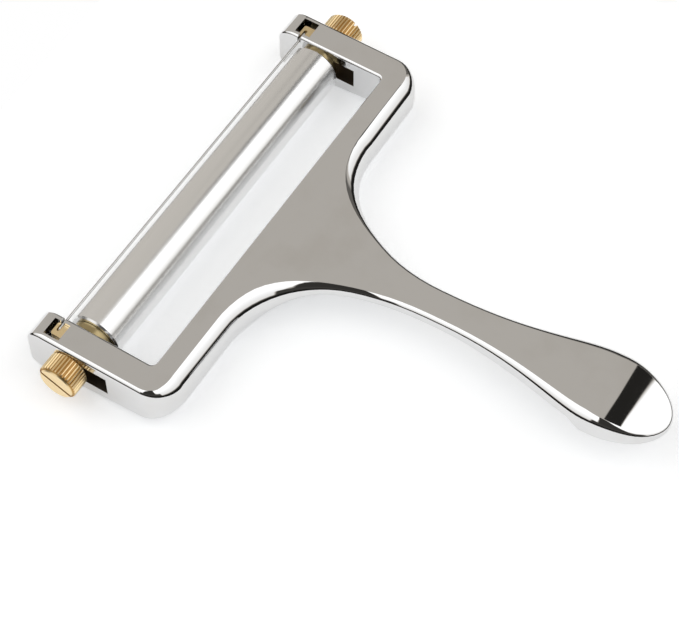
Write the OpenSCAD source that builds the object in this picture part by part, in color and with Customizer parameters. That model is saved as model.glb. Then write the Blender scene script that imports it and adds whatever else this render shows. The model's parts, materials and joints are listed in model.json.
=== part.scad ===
// Wire cheese slicer with an adjustable roller, all sizes in millimetres.
// The drawing frame has the head's flat top face at z = 0 and the window's back edge at y = 0.
// The prongs point to +Y and the handle to -Y. The finished slicer is then moved midway along Y, with its lowest
// point, under the prongs' tips, at z = 0.

/* [Head] */
// Width of the head over its two prongs
head_w = 107; // [100:1:114]
// Thickness of the head at the window's back edge
head_t = 11; // [10.6:0.1:12]
// Growth of the prongs' thickness towards their tips
prong_drop = 2; // [0:0.1:2.6]
// Width of each prong
prong_w = 7.2; // [6.8:0.1:8.4]
// Reach of the prongs in front of the window's back edge
prong_l = 29; // [28.3:0.1:33]
// Depth of the back bar behind the window
bar_d = 8.1; // [7.8:0.1:9.5]
// Radius of the two outer corners, seen from above
corner_r = 7.6; // [6.6:0.1:8.4]
// Radius of the window's two back corners, seen from above
window_r = 1.2; // [0.8:0.1:2]
// Radius of the prong tips, seen from above
tip_r = 1; // [0.6:0.1:1.4]
// Radius of the prong tips' upper nose, seen from the side
nose_top_r = 4.6; // [3.6:0.1:5]
// Radius of the prong tips' lower nose, seen from the side
nose_low_r = 3.5; // [2.5:0.1:4]

/* [Handle] */
// Length from the window's back edge to the tip of the handle
handle_l = 99.2; // [92:0.2:112]
// Thickness of the paddle
handle_t = 4.1; // [4:0.1:5]
// Thickness of the neck
neck_t = 3.3; // [3:0.1:4]
// Width of the neck
neck_w = 8.5; // [7.5:0.1:11]
// Distance from the window's back edge to the start of the straight neck
neck_y = 42; // [38:1:44]
// Length of the straight neck
neck_l = 3.8; // [2:0.2:8]
// Width of the paddle
paddle_w = 19.5; // [17:0.1:23]
// Length of the paddle's round end
paddle_end_l = 16.2; // [13:0.2:18]
// Half the width of the shoulders where they leave the back bar
shoulder_x = 30; // [26:1:33]
// Depth to which the top sags behind the head
sag_h = 1.8; // [0:0.1:2.4]
// Distance of the start of the sag from the window's back edge
sag_start = 5; // [5:0.5:8]
// Distance of the deepest point of the sag from the window's back edge
sag_y = 31; // [26:1:36]
// Rise of the paddle's top above the head's
rise_h = 1.2; // [0:0.1:2]
// Length over which the top turns down at the tip
curl_l = 15; // [12:0.2:18]
// Radius of that turn
curl_r = 28; // [24:1:40]
// Length over which it bends, before it runs on straight
curl_bend_l = 7; // [5:0.2:8]
// Length of the sloping underside behind the back bar
ramp_l = 12; // [11:0.5:16]
// Depth of the heel under the paddle's end
heel_h = 2.3; // [1.5:0.1:3]
// Distance of the heel's front from the tip
heel_l = 20.2; // [18:0.2:22]
// Length over which the underside steps down to the heel
heel_run = 4; // [3:0.2:6]
// Rise of the heel's underside towards the tip
heel_lift = 1.2; // [0:0.1:1.5]

/* [Edge rounding] */
// Tilt, in degrees, at which the top edges' rounding breaks from the flat top
break_a = 19; // [5:1:25]
// Top edge of the back bar and shoulders
bar_edge_r = 4.7; // [4:0.1:4.8]
// Bottom edge of the back bar
bar_low_r = 5; // [4:0.1:5.1]
// Top edge on the outer side of the prongs
side_edge_r = 1.3; // [0.6:0.1:1.6]
// Edges round the window
window_edge_r = 0.8; // [0.4:0.1:1]
// Top edge of the neck
neck_edge_r = 1.5; // [0.8:0.1:2]
// Top edge of the paddle
paddle_edge_r = 3; // [1.5:0.1:3.1]
// Edges at the prong tips and the handle's tip
tip_edge_r = 0.6; // [0.4:0.1:0.7]
// Bottom edges but the back bar's
low_edge_r = 0.9; // [0.5:0.1:1]

/* [Roller] */
// Outer diameter of the roller tube
roller_d = 12.4; // [11.8:0.1:13.4]
// Wall of the roller tube
roller_wall = 1.6; // [1.2:0.1:2]
// Distance of the roller's axis from the window's back edge, at the front of its travel
roller_y = 17.3; // [16.8:0.1:17.8]
// Break on the roller's edges
roller_edge = 0.4; // [0.2:0.1:0.7]
// Thickness of the bush flanges at the roller's ends
flange_t = 1.6; // [1.2:0.1:2.2]
// Diameter of the bush flanges
flange_d = 9.8; // [9.6:0.1:10.8]
// Length of the bush inside the roller
bush_l = 8; // [5:0.5:12]
// Diameter of the axle rod
rod_d = 6.8; // [6.4:0.1:7.1]
// Depth of the flange's seat that the rod's end stands in
seat_t = 0.8; // [0.5:0.1:1]
// Running clearance of turning pieces, on the radius
run_gap = 0.05; // [0.03:0.01:0.08]
// Clearance of faces that slide on each other
face_gap = 0.05; // [0.03:0.01:0.1]

/* [Thumbscrews] */
// Diameter of the knurled head
knob_d = 9.4; // [8.6:0.1:10.4]
// Length of the knurled head
knob_l = 5.2; // [4.4:0.1:6.5]
// Number of ridges round the head
knob_ridges = 36; // [24:1:44]
// Depth of the grooves between the ridges
ridge_h = 0.32; // [0.15:0.01:0.4]
// Chamfer at both ends of the head
knob_edge = 0.7; // [0.4:0.1:0.9]
// Diameter of the threaded shank
shank_d = 5; // [4.6:0.1:5.2]
// Length of shank that stands in the rod
thread_l = 6; // [4:0.5:10]
// Width of the driver slot
driver_w = 0.75; // [0.5:0.05:1.2]
// Depth of the driver slot
driver_t = 1.1; // [0.7:0.1:1.8]
// Turn of the left driver slot, degrees from level
driver_turn_left = 25; // [0:5:180]
// Turn of the right driver slot, degrees from level
driver_turn_right = 130; // [0:5:180]
// Height of the slot that the shank passes through
slot_h = 5.6; // [5.3:0.1:6]
// Travel of the roller along the slots
travel = 7; // [5:0.5:8]

/* [Wire] */
// Diameter of the cutting wire
wire_d = 0.56; // [0.4:0.02:0.7]
// Distance of the wire from the window's back edge
wire_y = 22.9; // [22.6:0.1:23.1]
// Depth of the wire's middle below the top face
wire_z = 1.2; // [1.1:0.1:1.6]
// Radius of the wire's bend into the anchor
bend_r = 0.8; // [0.6:0.1:1]
// Width of the notch that lets the wire through the prong
notch_w = 0.85; // [0.8:0.05:1.2]
// Width of the anchor pocket, across the prong
pocket_w = 4.4; // [4.2:0.1:4.6]
// Length of the anchor pocket, along the prong
pocket_l = 4; // [3.9:0.1:4.3]
// Depth of the anchor pocket
pocket_t = 5.4; // [5.3:0.1:6]
// Distance of the pocket from the window
pocket_wall = 1.3; // [1.1:0.1:1.5]
// Wall between the roller's slot and the anchor pocket
slot_wall = 0.9; // [0.7:0.1:1.1]
// Width of the anchor block, across the prong
anchor_w = 3.2; // [3:0.1:3.4]
// Length of the anchor block, along the prong
anchor_l = 3.1; // [3:0.1:3.3]
// Height of the anchor block
anchor_t = 2.9; // [2.7:0.1:3.1]
// Depth of the anchor block's top below the top face
anchor_z = 0.9; // [0.8:0.05:1]
// Radius of the anchor block's corners
anchor_r = 0.5; // [0.3:0.1:0.7]
// Diameter of the stop crimped on the wire's end
stop_d = 1.8; // [1.5:0.1:2.1]
// Length of the stop
stop_l = 1.1; // [0.9:0.1:1.2]

/* [Hidden] */
$fn = 64;
// How far cuts run past the faces that they open
over = 1;

// Where the shoulder, neck and paddle curves are pulled to, as shares of their own lengths
shoulder_pull_share = 0.48;
neck_pull_share = 0.64;
swell_pull_share = 0.52;
paddle_pull_share = 0.21;
// Stretches of the shoulder over which its top and bottom edges grow from the handle's to the back bar's
top_grow_shares = [0.3, 0.8];
low_grow_shares = [0.48, 0.92];
// Share of the paddle's swell over which the handle grows from the neck's thickness to the paddle's
thicken_share = 0.5;
// Share of a slope's length over which each of its ends eases in
ease_share = 0.2;
// Width of the soft break between flat top and rounding, as a share of the rounding's radius
break_share = 0.06;

// Largest shares of the local thickness that the top rounding, and then the bottom one, may take up
top_fit_share = 0.8;
low_fit_share = 0.95;

// Steps along the curves of the outline and round its edges
end_steps = 14;
swell_steps = 16;
shoulder_steps = 20;
bar_steps = 4;
corner_steps = 10;
side_steps = 5;
nose_steps = 9;
tip_steps = 7;
top_edge_steps = 7;
low_edge_steps = 7;

// Places derived from the sizes above
half_w = head_w / 2;
window_x = half_w - prong_w;
swell_l = handle_l - paddle_end_l - neck_y - neck_l;
nose_l = max(nose_top_r, nose_low_r);
top_drop = cos(break_a) + break_share * tan(break_a / 2);
roller_r = roller_d / 2;
axis_z = -head_t / 2;
roller_end = window_x - face_gap - flange_t - 2 * face_gap;
flange_in = window_x - face_gap - flange_t;
rod_end = flange_in + seat_t;
shank_end = rod_end - thread_l;
bore_r = roller_r - roller_wall;
bush_r = bore_r - run_gap;
slot_front = roller_y + shank_d / 2 + 2 * face_gap;
slot_back = roller_y - travel - shank_d / 2 - 2 * face_gap;
pocket_x = window_x + pocket_wall;
pocket_y = slot_front + slot_wall;
anchor_x = pocket_x + face_gap;
anchor_y = pocket_y + face_gap;
drop_x = anchor_x + anchor_w / 2;
stop_z = -anchor_z - anchor_t - face_gap;
wire_hole_r = wire_d / 2 + 2 * run_gap;

// Small maths
function mix(a, b, t) = a + (b - a) * t;
function smooth(t) = let (u = min(max(t, 0), 1)) u * u * (3 - 2 * u);
// A slope from 0 to 1, straight but for its two eased ends
function eased(t) = let (u = min(max(t, 0), 1), e = ease_share)
    u < e ? u * u / (2 * e * (1 - e))
    : u > 1 - e ? 1 - (1 - u) * (1 - u) / (2 * e * (1 - e))
    : (u - e / 2) / (1 - e);
function bezier(a, b, c, d, t) = pow(1 - t, 3) * a + 3 * t * pow(1 - t, 2) * b
    + 3 * t * t * (1 - t) * c + pow(t, 3) * d;
function unit(v) = v / norm(v);
function outward(v) = [v.y, -v.x];

// Gentle bow of the handle: down behind the head, then up to the paddle
function bow_z(y) = -sag_h * eased((-y - sag_start) / (sag_y - sag_start))
    + (sag_h + rise_h) * eased((-y - sag_y) / (handle_l - curl_l - sag_y));
// Height of the top face: flat over the head but for the prongs' noses, then bowed, and turned down at the tip
function top_z(y) = let (a = y - (prong_l - nose_top_r), b = -y - (handle_l - curl_l), m = min(b, curl_bend_l))
    a > 0 ? sqrt(max(pow(nose_top_r, 2) - a * a, 0)) - nose_top_r
    : bow_z(y) - (b > 0 ? m * (b - m / 2) / curl_r : 0);
// Thickness of the head, growing along the prongs, and of the handle from the neck to the paddle
function head_depth(y) = head_t + prong_drop * min(max(y, 0) / (prong_l - nose_low_r), 1);
function handle_depth(y) = mix(neck_t, handle_t, smooth((-y - neck_y - neck_l) / (swell_l * thicken_share)));
// Heel under the paddle's end: a step down, then a rise towards the tip
function heel_depth(y) = let (v = max(-y - (handle_l - curl_l), 0) / curl_l)
    heel_h * smooth((-y - (handle_l - heel_l)) / heel_run) - heel_lift * v * v;
// Height of the underside: the head's, sloping up behind the back bar to the thin handle's
function low_z(y) = let (a = y - (prong_l - nose_low_r), u = min(max((-y - bar_d) / ramp_l, 0), 1))
    a > 0 ? nose_low_r - head_depth(y) - sqrt(max(pow(nose_low_r, 2) - a * a, 0))
    : mix(-head_depth(y), bow_z(y) - handle_depth(y) - heel_depth(y), 1 - pow(1 - u, 2));

// Half the outline, from the handle's tip round the outside to the right prong's tip.
// Each point is [x, y, top rounding, bottom rounding, share of the rounding that is taken along y].
outer_half = concat(
    [for (i = [0 : end_steps - 1]) let (a = 90 * i / end_steps, g = 1 - cos(a))
        [paddle_w / 2 * sin(a), paddle_end_l - handle_l - paddle_end_l * cos(a),
        mix(tip_edge_r, paddle_edge_r, g), mix(tip_edge_r, low_edge_r, g), 1]],
    [for (i = [0 : swell_steps]) let (t = i / swell_steps, p = bezier(
        [paddle_w / 2, -neck_y - neck_l - swell_l],
        [paddle_w / 2, -neck_y - neck_l - swell_l * (1 - paddle_pull_share)],
        [neck_w / 2, -neck_y - neck_l - swell_l * swell_pull_share],
        [neck_w / 2, -neck_y - neck_l], t))
        [p.x, p.y, mix(paddle_edge_r, neck_edge_r, smooth(t)), low_edge_r, 1]],
    [for (i = [0 : shoulder_steps]) let (t = i / shoulder_steps, drop = neck_y - bar_d, p = bezier(
        [neck_w / 2, -neck_y],
        [neck_w / 2, -neck_y + drop * neck_pull_share],
        [shoulder_x * (1 - shoulder_pull_share), -bar_d],
        [shoulder_x, -bar_d], t),
        g = smooth((t - top_grow_shares[0]) / (top_grow_shares[1] - top_grow_shares[0])),
        h = smooth((t - low_grow_shares[0]) / (low_grow_shares[1] - low_grow_shares[0])))
        [p.x, p.y, mix(neck_edge_r, bar_edge_r, g), mix(low_edge_r, bar_low_r, h), 1]],
    [for (i = [1 : bar_steps - 1]) [mix(shoulder_x, half_w - corner_r, i / bar_steps), -bar_d,
        bar_edge_r, bar_low_r, 1]],
    [for (i = [0 : corner_steps]) let (a = 90 * i / corner_steps - 90, g = smooth(i / corner_steps))
        [half_w - corner_r + corner_r * cos(a), corner_r - bar_d + corner_r * sin(a),
        mix(bar_edge_r, side_edge_r, g), mix(bar_low_r, low_edge_r, g), 1]],
    [for (i = [1 : side_steps]) [half_w, mix(corner_r - bar_d, prong_l - nose_l, i / side_steps),
        side_edge_r, low_edge_r, 1]],
    [for (i = [1 : nose_steps - 1]) let (g = i / nose_steps)
        [half_w, mix(prong_l - nose_l, prong_l - tip_r, g),
        mix(side_edge_r, tip_edge_r, g), mix(low_edge_r, tip_edge_r, g), 0]],
    [for (i = [0 : tip_steps]) let (a = 90 * i / tip_steps)
        [half_w - tip_r + tip_r * cos(a), prong_l - tip_r + tip_r * sin(a), tip_edge_r, tip_edge_r, 0]]);
// The window's half outline, point for point opposite the outer one from the shoulder on
join = end_steps + swell_steps + shoulder_steps + 1;
last = len(outer_half) - 1;
inner_half = concat(
    [for (i = [0 : bar_steps - 1]) [mix(shoulder_x, window_x - window_r, i / bar_steps), 0,
        window_edge_r, window_edge_r, 1]],
    [for (i = [0 : corner_steps]) let (a = 90 * i / corner_steps - 90)
        [window_x - window_r + window_r * cos(a), window_r + window_r * sin(a), window_edge_r, window_edge_r, 1]],
    [for (i = [1 : side_steps]) [window_x, mix(window_r, prong_l - nose_l, i / side_steps),
        window_edge_r, window_edge_r, 1]],
    [for (i = [1 : nose_steps - 1]) let (g = i / nose_steps, r = mix(window_edge_r, tip_edge_r, g))
        [window_x, mix(prong_l - nose_l, prong_l - tip_r, g), r, r, 0]],
    [for (i = [0 : tip_steps]) let (a = 180 - 90 * i / tip_steps)
        [window_x + tip_r + tip_r * cos(a), prong_l - tip_r + tip_r * sin(a), tip_edge_r, tip_edge_r, 0]]);

// The whole outline, anticlockwise from the tip of the handle
function mirrored(p) = [-p[0], p[1], p[2], p[3], p[4]];
// A point with its roundings kept within the thickness there
function fitted(p) = let (t = top_z(p[1]) - low_z(p[1]), r = min(p[2], top_fit_share * t / top_drop))
    [p[0], p[1], r, min(p[3], low_fit_share * (t - r * top_drop)), p[4]];
inner_count = len(inner_half);
outline = [for (p = concat(outer_half,
    [for (i = [inner_count - 1 : -1 : 0]) inner_half[i]],
    [for (i = [0 : inner_count - 1]) mirrored(inner_half[i])],
    [for (i = [last : -1 : 1]) mirrored(outer_half[i])])) fitted(p)];
count = len(outline);
function flat(p) = [p[0], p[1]];
function side(i) = let (v = flat(outline[(i + 1) % count]) - flat(outline[i])) outward(unit(v));
// Outward direction at a point, lengthened so that both neighbouring sides keep their rounding
normals = [for (i = [0 : count - 1]) let (n = side((i + count - 1) % count) + side(i)) 2 * n / (n * n)];

// Sections of the edges, from the flat to the wall and on to the underside. Each point is the share of
// the edge's radius that it lies in from the wall, and down from the top or up from the underside.
top_section = concat([[1 - sin(break_a) + break_share, 0]],
    [for (k = [0 : top_edge_steps]) let (a = mix(break_a, 90, k / top_edge_steps))
        [1 - sin(a), cos(break_a) - cos(a) + break_share * tan(break_a / 2)]]);
low_section = [for (k = [low_edge_steps : -1 : 0]) let (a = 90 * k / low_edge_steps) [1 - sin(a), 1 - cos(a)]];

// Rings of points from the top face over both edges to the underside
function ring(top, e) = [for (i = [0 : count - 1]) let (p = outline[i], r = top ? p[2] : p[3],
    x = p[0] - normals[i].x * r * e[0], y = p[1] - normals[i].y * r * e[0] * p[4])
    [x, y, top ? top_z(y) - r * e[1] : low_z(y) + r * e[1]]];
frame_points = [
    for (e = top_section) each ring(true, e),
    for (e = low_section) each ring(false, e)];
rings = len(top_section) + len(low_section);

// Places in the outline of the right and left outer and inner points
function right_out(j) = j;
function right_in(j) = 2 * last + 1 - j;
function left_in(j) = 2 * last + 2 - 2 * join + j;
function left_out(j) = j == 0 ? 0 : 4 * last + 3 - 2 * join - j;
function quad(a, b, c, d) = [[a, b, c], [a, c, d]];
function turned(f) = [f[2], f[1], f[0]];
cap = concat(
    [[right_out(0), left_out(1), right_out(1)]],
    [for (j = [1 : join - 1]) each quad(left_out(j), left_out(j + 1), right_out(j + 1), right_out(j))],
    quad(left_out(join), left_in(join), right_in(join), right_out(join)),
    [for (j = [join : last - 1]) each quad(right_in(j), right_in(j + 1), right_out(j + 1), right_out(j))],
    [for (j = [join : last - 1]) each quad(left_out(j), left_out(j + 1), left_in(j + 1), left_in(j))]);
low_cap = [for (f = cap) turned(f) + [1, 1, 1] * count * (rings - 1)];
walls = [for (k = [0 : rings - 2], i = [0 : count - 1]) let (n = (i + 1) % count)
    each quad(k * count + i, k * count + n, (k + 1) * count + n, (k + 1) * count + i)];

// Moves the drawing frame so that the middle of the length is at y = 0 and the lowest point at z = 0
lay_y = (handle_l - prong_l) / 2;
lay_z = max(roller_r - axis_z, head_t + prong_drop);
module laid() {
    translate([0, lay_y, lay_z]) children();
}

// Slot through a prong for the thumbscrew's shank
module shank_slot() {
    translate([window_x - over, slot_back, axis_z - slot_h / 2])
        cube([prong_w + 2 * over, slot_front - slot_back, slot_h]);
}

// Pocket for the wire's anchor and the notch that the wire comes in by
module wire_pocket() {
    translate([pocket_x, pocket_y, -pocket_t]) cube([pocket_w, pocket_l, pocket_t + over]);
    translate([window_x - over, wire_y - notch_w / 2, -wire_z - notch_w / 2])
        cube([pocket_wall + 2 * over, notch_w, wire_z + notch_w / 2 + over]);
}

module frame() {
    color("gainsboro") laid() difference() {
        polyhedron(points = frame_points, faces = concat(cap, walls, low_cap), convexity = 6);
        for (s = [0, 1]) mirror([s, 0, 0]) {
            shank_slot();
            wire_pocket();
        }
    }
}

// Turns a shape drawn round the Z axis so that it lies round the roller's axis
module on_axis() {
    translate([0, roller_y, axis_z]) rotate([0, 90, 0]) children();
}

module roller() {
    color("silver") laid() on_axis() rotate_extrude() polygon([
        [bore_r, -roller_end + roller_edge / 2], [bore_r + roller_edge / 2, -roller_end],
        [roller_r - roller_edge, -roller_end], [roller_r, -roller_end + roller_edge],
        [roller_r, roller_end - roller_edge], [roller_r - roller_edge, roller_end],
        [bore_r + roller_edge / 2, roller_end], [bore_r, roller_end - roller_edge / 2]]);
}

// Rod through the roller, tapped at both ends for the thumbscrews
module axle_rod() {
    color("dimgray") laid() on_axis() difference() {
        translate([0, 0, -rod_end]) cylinder(d = rod_d, h = 2 * rod_end);
        for (s = [0, 1]) mirror([0, 0, s]) translate([0, 0, shank_end - over])
            cylinder(r = shank_d / 2 + run_gap, h = rod_end - shank_end + 2 * over);
    }
}

// Flanged bush in the roller's end: the rod stands in its seat and the roller turns on its body
module bush() {
    on_axis() rotate_extrude() polygon([
        [rod_d / 2 + run_gap, flange_in - bush_l], [bush_r, flange_in - bush_l],
        [bush_r, flange_in], [flange_d / 2, flange_in],
        [flange_d / 2, flange_in + flange_t], [shank_d / 2 + 2 * run_gap, flange_in + flange_t],
        [shank_d / 2 + 2 * run_gap, rod_end], [rod_d / 2 + run_gap, rod_end]]);
}

module left_bush() {
    color("darkgoldenrod") laid() mirror([1, 0, 0]) bush();
}

module right_bush() {
    color("darkgoldenrod") laid() bush();
}

// Straight knurled head with a driver slot, and its shank
module thumbscrew(turn) {
    pitch = 360 / knob_ridges;
    base = half_w + face_gap;
    on_axis() {
        difference() {
            intersection() {
                translate([0, 0, base]) linear_extrude(height = knob_l) polygon([
                    for (i = [0 : knob_ridges - 1], s = [0, 1, 2, 3])
                        let (a = pitch * (i + s / 4), r = s < 2 ? knob_d / 2 : knob_d / 2 - ridge_h)
                        r * [cos(a), sin(a)]]);
                rotate_extrude() polygon([
                    [0, base], [knob_d / 2 - knob_edge / 2, base], [knob_d / 2 + over, base + knob_edge / 2 + over],
                    [knob_d / 2 + over, base + knob_l - knob_edge - over],
                    [knob_d / 2 - knob_edge, base + knob_l], [0, base + knob_l]]);
            }
            rotate([0, 0, turn]) translate([-knob_d, -driver_w / 2, base + knob_l - driver_t])
                cube([2 * knob_d, driver_w, driver_t + over]);
        }
        translate([0, 0, shank_end]) cylinder(d = shank_d, h = base - shank_end + driver_t);
    }
}

module left_thumbscrew() {
    color("goldenrod") laid() mirror([1, 0, 0]) thumbscrew(90 + driver_turn_left);
}

module right_thumbscrew() {
    color("goldenrod") laid() thumbscrew(90 + driver_turn_right);
}

// Steel wire between the prongs, with its ends bent down through the anchors
module cutting_wire() {
    color("gray") laid() translate([0, wire_y, -wire_z]) {
        rotate([0, 90, 0]) cylinder(d = wire_d, h = 2 * (drop_x - bend_r), center = true, $fn = 24);
        for (s = [0, 1]) mirror([s, 0, 0]) translate([drop_x - bend_r, 0, -bend_r]) {
            rotate([90, 0, 0]) rotate_extrude(angle = 90, $fn = 48) translate([bend_r, 0]) circle(d = wire_d, $fn = 24);
            translate([bend_r, 0, -(stop_l - stop_z - wire_z - bend_r)])
                cylinder(d = wire_d, h = stop_l - stop_z - wire_z - bend_r, $fn = 24);
        }
    }
}

// Anchor block with round corners, a saw cut for the wire and the hole that it goes down
module wire_anchor() {
    difference() {
        translate([anchor_x, anchor_y, -anchor_z - anchor_t]) linear_extrude(height = anchor_t) union() {
            translate([0, anchor_r]) square([anchor_w, anchor_l - 2 * anchor_r]);
            translate([anchor_r, 0]) square([anchor_w - 2 * anchor_r, anchor_l]);
            for (x = [anchor_r, anchor_w - anchor_r], y = [anchor_r, anchor_l - anchor_r])
                translate([x, y]) circle(r = anchor_r, $fn = 32);
        }
        translate([anchor_x - over, wire_y - wire_hole_r, -wire_z - bend_r - wire_hole_r])
            cube([anchor_w / 2 + over, 2 * wire_hole_r, bend_r + wire_z + over]);
        translate([drop_x, wire_y, -anchor_z - anchor_t - over])
            cylinder(r = wire_hole_r, h = anchor_t + 2 * over, $fn = 24);
    }
}

module left_wire_anchor() {
    color("peru") laid() mirror([1, 0, 0]) wire_anchor();
}

module right_wire_anchor() {
    color("peru") laid() wire_anchor();
}

// Stop crimped on the wire's end under the anchor
module wire_stop() {
    translate([drop_x, wire_y, stop_z - stop_l]) difference() {
        cylinder(d = stop_d, h = stop_l, $fn = 32);
        translate([0, 0, -over]) cylinder(r = wire_d / 2 + run_gap / 2, h = stop_l + 2 * over, $fn = 24);
    }
}

module left_wire_stop() {
    color("slategray") laid() mirror([1, 0, 0]) wire_stop();
}

module right_wire_stop() {
    color("slategray") laid() wire_stop();
}

frame();
roller();
axle_rod();
left_bush();
right_bush();
left_thumbscrew();
right_thumbscrew();
cutting_wire();
left_wire_anchor();
right_wire_anchor();
left_wire_stop();
right_wire_stop();
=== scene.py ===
"""Looks of a wire cheese slicer: plated casting, polished roller, brass thumbscrews and a steel wire."""

import json
import math

import bpy
from mathutils import Matrix, Vector


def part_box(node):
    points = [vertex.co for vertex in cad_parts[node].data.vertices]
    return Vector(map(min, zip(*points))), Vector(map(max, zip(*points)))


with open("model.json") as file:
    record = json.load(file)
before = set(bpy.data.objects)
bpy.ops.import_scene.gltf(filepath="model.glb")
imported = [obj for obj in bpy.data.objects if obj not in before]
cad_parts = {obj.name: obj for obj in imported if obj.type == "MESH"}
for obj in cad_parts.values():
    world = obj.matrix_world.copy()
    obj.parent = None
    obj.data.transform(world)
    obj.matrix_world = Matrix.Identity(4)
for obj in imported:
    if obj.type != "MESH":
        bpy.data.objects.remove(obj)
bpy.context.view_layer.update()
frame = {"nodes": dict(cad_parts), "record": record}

MM = 0.001

# The photograph's camera: its focal length in pixels of a picture of this width, and the angles it looks from
IMAGE_WIDTH = 679
FOCAL_PIXELS = 2121.0
SENSOR_WIDTH = 36.0
VIEW_AZIMUTH = math.radians(-57.875)
VIEW_ELEVATION = math.radians(57.165)
NEAR_CLIP = 10 * MM
FAR_CLIP = 20.0

# Its place: how far it stands back from the middle of the window's back edge, on the head's top face, and how
# far to the picture's right and top
WINDOW_EDGE = Vector((0, 35.1 * MM, 13.0 * MM))
VIEW_DISTANCE = 470.8 * MM
AIM_RIGHT = 14.79 * MM
AIM_UP = -23.19 * MM

# The roller's axis, and the radius of the thumbscrews' heads
roller_low, roller_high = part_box("roller")
ROLLER_AXIS = (roller_low + roller_high) / 2
knob_low, knob_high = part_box("left_thumbscrew")
KNOB_RADIUS = (knob_high.z - knob_low.z) / 2

# The slots through the prongs, whose walls are painted dark as painted shade: out from the middle plane,
# along the prongs and up
SLOT_X = (46.38 * MM, 53.42 * MM)
SLOT_Y = (42.7 * MM, 55.1 * MM)
SLOT_Z = (4.65 * MM, 10.35 * MM)
SLOT_EDGE = 0.02 * MM

# Turned brass: depths of the knurling's grooves below its teeth, and the distance between tool rings
KNURL_TOP = 0.2 * MM
KNURL_FLOOR = 0.5 * MM
TOOL_PITCH = 0.16 * MM

# Colours of the surfaces, linear
PLATING = (0.76, 0.76, 0.76)
SMUDGE = (0.72, 0.715, 0.705)
# Painted shade: the dark colour of the slots' walls
SLOT_PAINTED_SHADE = (0.11, 0.09, 0.07)
DARK_ALUMINIUM = (0.90, 0.90, 0.90)
BRIGHT_ALUMINIUM = (0.95, 0.95, 0.945)
BRIGHT_BRASS = (1.0, 0.80, 0.47)
# The darker brass serves for random mottling, and as painted shade in the knurling's grooves
DULL_BRASS_AND_GROOVE_SHADE = (0.50, 0.27, 0.07)
# Painted shade: a darker copy of the brass, for the bushes
PAINTED_SHADE_BRASS = (0.45, 0.36, 0.19)
PAINTED_SHADE_BROWN_BRASS = (0.20, 0.14, 0.06)
DARK_STEEL = (0.56, 0.56, 0.56)
BRIGHT_STEEL = (0.70, 0.70, 0.69)
PAPER = (0.85, 0.85, 0.85)
COOL_WHITE = (0.96, 0.98, 1.0)
WARM_GREY = (1.0, 0.945, 0.87)
WHITE = (1.0, 1.0, 1.0)

# The sheet of paper: half its width, how brightly it glows to the camera, and how much of that mirrors show
PAPER_HALF = 112 * MM
PAPER_GLOW = 0.40
GLOW_IN_MIRRORS = 0.8

# Shading of the solids' facets: faces that meet at less than the crease are one curved surface
CREASE = math.radians(15.5)
WELD_GAP = 0.0005 * MM
LARGE_FACE_WEIGHT = 60

# Places of the colour sockets on a Mix node
MIX_FACTOR, MIX_LOW, MIX_HIGH, MIX_RESULT = 0, 6, 7, 2


class Socket:
    """One output of a node tree. Arithmetic on it adds Math nodes."""

    def __init__(self, finish, output):
        self.finish = finish
        self.output = output

    def __add__(self, other):
        return self.finish.maths("ADD", self, other)

    def __sub__(self, other):
        return self.finish.maths("SUBTRACT", self, other)

    def __rsub__(self, other):
        return self.finish.maths("SUBTRACT", other, self)

    def __mul__(self, other):
        return self.finish.maths("MULTIPLY", self, other)

    def __truediv__(self, other):
        return self.finish.maths("DIVIDE", self, other)

    def __mod__(self, other):
        return self.finish.maths("MODULO", self, other)

    def __pow__(self, other):
        return self.finish.maths("POWER", self, other)

    def __abs__(self):
        return self.finish.maths("ABSOLUTE", self)

    __radd__ = __add__
    __rmul__ = __mul__

    def above(self, edge, blur):
        """0 below the edge and 1 above it, over a blurred step."""
        settings = {"interpolation_type": "SMOOTHSTEP"}
        values = {"Value": self, "From Min": edge - blur / 2, "From Max": edge + blur / 2}
        return self.finish.node("ShaderNodeMapRange", settings, values)

    def below(self, edge, blur):
        """1 below the edge and 0 above it."""
        return 1 - self.above(edge, blur)

    def between(self, low, high, blur):
        """1 between two edges and 0 outside them."""
        return self.above(low, blur) * self.below(high, blur)

    def blend(self, low, high):
        """From low, where this is 0, to high, where it is 1."""
        return low + self * (high - low)


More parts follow.
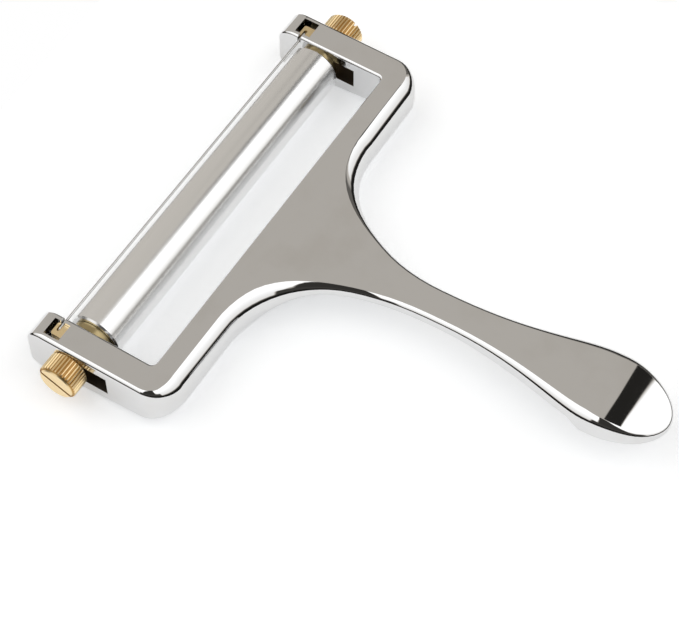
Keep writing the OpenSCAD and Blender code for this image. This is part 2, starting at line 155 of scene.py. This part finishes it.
class Finish:
    """The node tree of a material or of the surroundings."""

    def __init__(self, owner):
        self.owner = owner
        owner.use_nodes = True
        self.tree = owner.node_tree
        self.tree.nodes.clear()

    def node(self, kind, settings=None, values=None, output=0):
        """Adds a node with settings, and with values or links. Returns one of its outputs, if it has any."""
        made = self.tree.nodes.new(kind)
        for name, value in (settings or {}).items():
            setattr(made, name, value)
        for name, value in (values or {}).items():
            if isinstance(value, Socket):
                self.tree.links.new(value.output, made.inputs[name])
            else:
                made.inputs[name].default_value = value
        return Socket(self, made.outputs[output]) if made.outputs else None

    def maths(self, operation, *values):
        """One Math node on numbers or sockets."""
        return self.node("ShaderNodeMath", {"operation": operation}, dict(enumerate(values)))

    def place(self, kind="Object"):
        """Where a point lies, in metres on a piece. Generated gives the direction in the surroundings."""
        return self.node("ShaderNodeTexCoord", output=kind)

    def parts(self, vector):
        """The x, y and z of a vector."""
        return [self.node("ShaderNodeSeparateXYZ", values={"Vector": vector}, output=axis) for axis in "XYZ"]

    def ray(self, kind):
        """1 for rays of that kind, such as Camera or Glossy, and 0 for all others."""
        return self.node("ShaderNodeLightPath", output=f"Is {kind} Ray")

    def stretched(self, vector, scale):
        """Makes noise longer along each axis whose scale is under 1."""
        return self.node("ShaderNodeMapping", values={"Vector": vector, "Scale": scale})

    def noise(self, vector, size, detail=2.0, roughness=0.5):
        """Noise from 0 to 1 whose lumps are about that size, in metres."""
        values = {"Vector": vector, "Scale": 1 / size, "Detail": detail, "Roughness": roughness}
        return self.node("ShaderNodeTexNoise", values=values)

    def tint(self, factor, low, high):
        """A colour between two, fixed or worked out, by a factor."""
        low, high = [color if isinstance(color, Socket) else (*color, 1) for color in (low, high)]
        values = {MIX_FACTOR: factor, MIX_LOW: low, MIX_HIGH: high}
        return self.node("ShaderNodeMix", {"data_type": "RGBA"}, values, output=MIX_RESULT)

    def bump(self, height, depth):
        """Relief of that depth, in metres, where the height goes from 0 to 1."""
        return self.node("ShaderNodeBump", values={"Distance": depth, "Height": height})

    def emission(self, kind, color, strength):
        """Light from a surface or from the surroundings."""
        color = color if isinstance(color, Socket) else (*color, 1)
        return self.node(kind, values={"Color": color, "Strength": strength})

    def either(self, factor, first, second):
        """The first shader where the factor is 0, and the second where it is 1."""
        return self.node("ShaderNodeMixShader", values={0: factor, 1: first, 2: second})

    def metal(self, color, roughness, normal):
        """Finishes the tree as bare metal and returns the material."""
        values = {"Base Color": color, "Metallic": 1.0, "Roughness": roughness, "Normal": normal}
        shader = self.node("ShaderNodeBsdfPrincipled", values=values)
        self.node("ShaderNodeOutputMaterial", values={"Surface": shader})
        return self.owner


def plated_casting():
    """Bright plating over a polished die casting: a mirror with a faint waviness, smudges and wiping marks.
    The slots' walls are rough, and painted dark as painted shade."""
    f = Finish(bpy.data.materials.new("plated_casting"))
    place = f.place()
    smudge = f.noise(place, 14 * MM, detail=3.0, roughness=0.55).above(0.62, blur=0.3)
    across = f.stretched(place, (0.12, 1.0, 1.0))
    wiping = f.noise(across, 0.5 * MM, roughness=0.6).above(0.66, blur=0.2)
    waviness = f.noise(place, 6 * MM, detail=1.0)
    x, y, z = f.parts(place)
    # The slots' walls, which are made rough and painted dark as painted shade
    shaded_slot = abs(x).between(*SLOT_X, SLOT_EDGE) * y.between(*SLOT_Y, SLOT_EDGE)
    shaded_slot = shaded_slot * z.between(*SLOT_Z, SLOT_EDGE)
    roughness = shaded_slot.blend(0.03 + smudge * 0.025 + wiping * 0.02, 0.5)
    color = f.tint(shaded_slot, f.tint(smudge, PLATING, SMUDGE), SLOT_PAINTED_SHADE)
    return f.metal(color, roughness, f.bump(waviness, 0.003 * MM))


def polished_aluminium():
    """Drawn tube, polished along its length: long fine streaks and faint rings."""
    f = Finish(bpy.data.materials.new("polished_aluminium"))
    place = f.place()
    along = f.stretched(place, (0.02, 1.0, 1.0))
    streak = f.noise(along, 0.35 * MM, detail=3.0, roughness=0.65)
    around = f.stretched(place, (1.0, 0.02, 0.02))
    ring = f.noise(around, 0.4 * MM, roughness=0.6)
    cloud = f.noise(place, 18 * MM)
    roughness = 0.20 + streak * 0.04 + cloud * 0.03
    color = f.tint(streak, DARK_ALUMINIUM, BRIGHT_ALUMINIUM)
    return f.metal(color, roughness, f.bump(streak + ring * 0.3, 0.0005 * MM))


def turned_brass(name, bright, dull_and_shaded):
    """Turned brass with fine tool rings, mottled at random towards a duller colour, with painted shade down
    in the knurling's grooves.
    """
    f = Finish(bpy.data.materials.new(name))
    place = f.place()
    _, y, z = f.parts(place)
    radius = ((y - ROLLER_AXIS.y) ** 2 + (z - ROLLER_AXIS.z) ** 2) ** 0.5
    rings = f.maths("SINE", 2 * math.pi * radius / TOOL_PITCH)
    mottle = f.noise(place, 1.6 * MM, detail=3.0, roughness=0.6)
    # Painted shade: the knurling's grooves are darkened towards the darker colour
    shaded_groove = radius.below(KNOB_RADIUS - KNURL_TOP, blur=0.2 * MM)
    shaded_groove = shaded_groove * radius.above(KNOB_RADIUS - KNURL_FLOOR, blur=0.1 * MM)
    color = f.tint(mottle * 0.2 + shaded_groove * 0.8, bright, dull_and_shaded)
    roughness = 0.27 + mottle * 0.05 + shaded_groove * 0.1
    return f.metal(color, roughness, f.bump(rings + mottle, 0.0004 * MM))


def drawn_steel():
    """Drawn stainless steel, with streaks along the wire and rod."""
    f = Finish(bpy.data.materials.new("drawn_steel"))
    along = f.stretched(f.place(), (0.03, 1.0, 1.0))
    streak = f.noise(along, 0.12 * MM, roughness=0.6)
    color = f.tint(streak, DARK_STEEL, BRIGHT_STEEL)
    return f.metal(color, 0.16 + streak * 0.12, f.bump(streak, 0.001 * MM))


def dress(piece, finish):
    """Gives a piece its finish, and shades its curved faces smoothly."""
    for slot in piece.material_slots:
        slot.material = finish
    for face in piece.data.polygons:
        face.use_smooth = True
    weld = piece.modifiers.new("weld", "WELD")
    weld.merge_threshold = WELD_GAP
    split = piece.modifiers.new("crease", "EDGE_SPLIT")
    split.split_angle = CREASE
    level = piece.modifiers.new("level", "WEIGHTED_NORMAL")
    level.mode = "FACE_AREA"
    level.weight = LARGE_FACE_WEIGHT
    level.keep_sharp = True


def dress_pieces():
    """Each piece takes its material slot's finish, but the bushes' brass is darker than the screws', as
    painted shade.
    """
    finishes = {
        "plated_casting": plated_casting(),
        "polished_aluminium": polished_aluminium(),
        "brass": turned_brass("turned_brass", BRIGHT_BRASS, DULL_BRASS_AND_GROOVE_SHADE),
        "steel": drawn_steel(),
    }
    # The bushes get a darker copy of the brass: painted shade
    painted_shade_brass = turned_brass("painted_shade_brass", PAINTED_SHADE_BRASS, PAINTED_SHADE_BROWN_BRASS)
    slots = {part["node"]: part["material_slot"] for part in frame["record"]["subparts"]}
    for name, piece in frame["nodes"].items():
        dress(piece, painted_shade_brass if name.endswith("bush") else finishes[slots[name]])


def camera():
    """The photograph's camera. Right and up follow the picture's sides, and back points at the camera."""
    a, e = VIEW_AZIMUTH, VIEW_ELEVATION
    back = Vector((math.sin(a) * math.cos(e), -math.cos(a) * math.cos(e), math.sin(e)))
    right = Vector((math.cos(a), math.sin(a), 0))
    up = back.cross(right)
    lens = bpy.data.cameras.new("camera")
    lens.sensor_fit = "HORIZONTAL"
    lens.sensor_width = SENSOR_WIDTH
    lens.lens = FOCAL_PIXELS / IMAGE_WIDTH * SENSOR_WIDTH
    lens.clip_start = NEAR_CLIP
    lens.clip_end = FAR_CLIP
    made = bpy.data.objects.new("camera", lens)
    turn = Matrix((right, up, back)).transposed().to_4x4()
    turn.translation = WINDOW_EDGE + right * AIM_RIGHT + up * AIM_UP + back * VIEW_DISTANCE
    made.matrix_world = turn
    bpy.context.scene.collection.objects.link(made)
    bpy.context.scene.camera = made


def floor():
    """Sheet of white paper, white to the camera but for the object's soft shadow, and clear from below."""
    mesh = bpy.data.meshes.new("floor")
    corners = [(x * PAPER_HALF, y * PAPER_HALF, 0) for x, y in ((-1, -1), (1, -1), (1, 1), (-1, 1))]
    mesh.from_pydata(corners, [], [(0, 1, 2, 3)])
    made = bpy.data.objects.new("floor", mesh)
    bpy.context.scene.collection.objects.link(made)
    f = Finish(bpy.data.materials.new("floor"))
    matt = f.node("ShaderNodeBsdfDiffuse", values={"Color": (*PAPER, 1)})
    glow = f.emission("ShaderNodeEmission", COOL_WHITE, PAPER_GLOW)
    lit = f.node("ShaderNodeAddShader", values={0: matt, 1: glow})
    seen = f.maths("MINIMUM", f.ray("Camera") + f.ray("Glossy") * GLOW_IN_MIRRORS, 1.0)
    underside = f.node("ShaderNodeNewGeometry", output="Backfacing")
    clear = f.node("ShaderNodeBsdfTransparent")
    shader = f.either(underside, f.either(seen, matt, lit), clear)
    f.node("ShaderNodeOutputMaterial", values={"Surface": shader})
    mesh.materials.append(f.owner)


def studio():
    """What the plating mirrors: a grey ceiling, a dim wall, white panels and a dark side behind the camera.

    Bearings run anticlockwise from +X. Both they and heights above the horizon are in degrees.
    """
    f = Finish(bpy.data.worlds.new("studio"))
    bpy.context.scene.world = f.owner
    x, y, z = f.parts(f.place("Generated"))
    bearing = f.maths("ARCTAN2", y, x) * (180 / math.pi)
    height = f.maths("ARCSINE", z) * (180 / math.pi)

    def panel(start, end, low, high, blur):
        """1 inside a panel between two bearings and between two heights."""
        # How far off the panel's middle, the short way round
        off = abs((bearing - (start + end) / 2 + 540) % 360 - 180)
        return off.below((end - start) / 2, blur) * height.between(low, high, blur)

    ceiling = 0.53
    dim_wall = 0.14
    # The white panels are brighter above, and the large one has a slanted edge.
    white = height.above(38, blur=46).blend(1.0, 1.45)
    slant = height.above(32, blur=30).blend(-116, -131)

    light = height.above(12, blur=12).blend(dim_wall, ceiling)
    # Bearings, heights, blur of the edges, and brightness
    panels = [
        # the dim wall, higher on the right
        (-17, 38, -5, 46, 4, dim_wall),
        # large white panel, from behind the handle to the right
        (slant, -22, 15, 76, 3, white),
        # white panel, from before the prongs to the left, and wider above
        (72, 172, 15, 36, 4, white),
        (72, 181, 30, 78, 4, white),
        # black card high up on the large panel's right edge
        (-26, -2, 49, 62.5, 2, 0.02),
        # dark side behind the camera, narrower above
        (172, 244, -5, 31, 4, 0.055),
        (181, 229, 28, 84, 4, 0.04),
    ]
    for start, end, low, high, blur, tone in panels:
        light = panel(start, end, low, high, blur).blend(light, tone)
    # The foot of the walls is black but for one gap, and the ground is light.
    light = height.above(11, blur=5).blend(0.015, light)
    light = panel(42, 74, -25, 52, blur=8).blend(light, ceiling)
    light = height.above(-9, blur=2).blend(0.75, light)

    shade = f.tint(light.above(0.9, blur=0.6), WARM_GREY, WHITE)
    mirrored = f.emission("ShaderNodeBackground", shade, light)
    plain = f.emission("ShaderNodeBackground", WHITE, 1.0)
    f.node("ShaderNodeOutputWorld", values={"Surface": f.either(f.ray("Camera"), mirrored, plain)})


dress_pieces()
camera()
floor()
studio()
bpy.context.scene.view_settings.view_transform = "Standard"
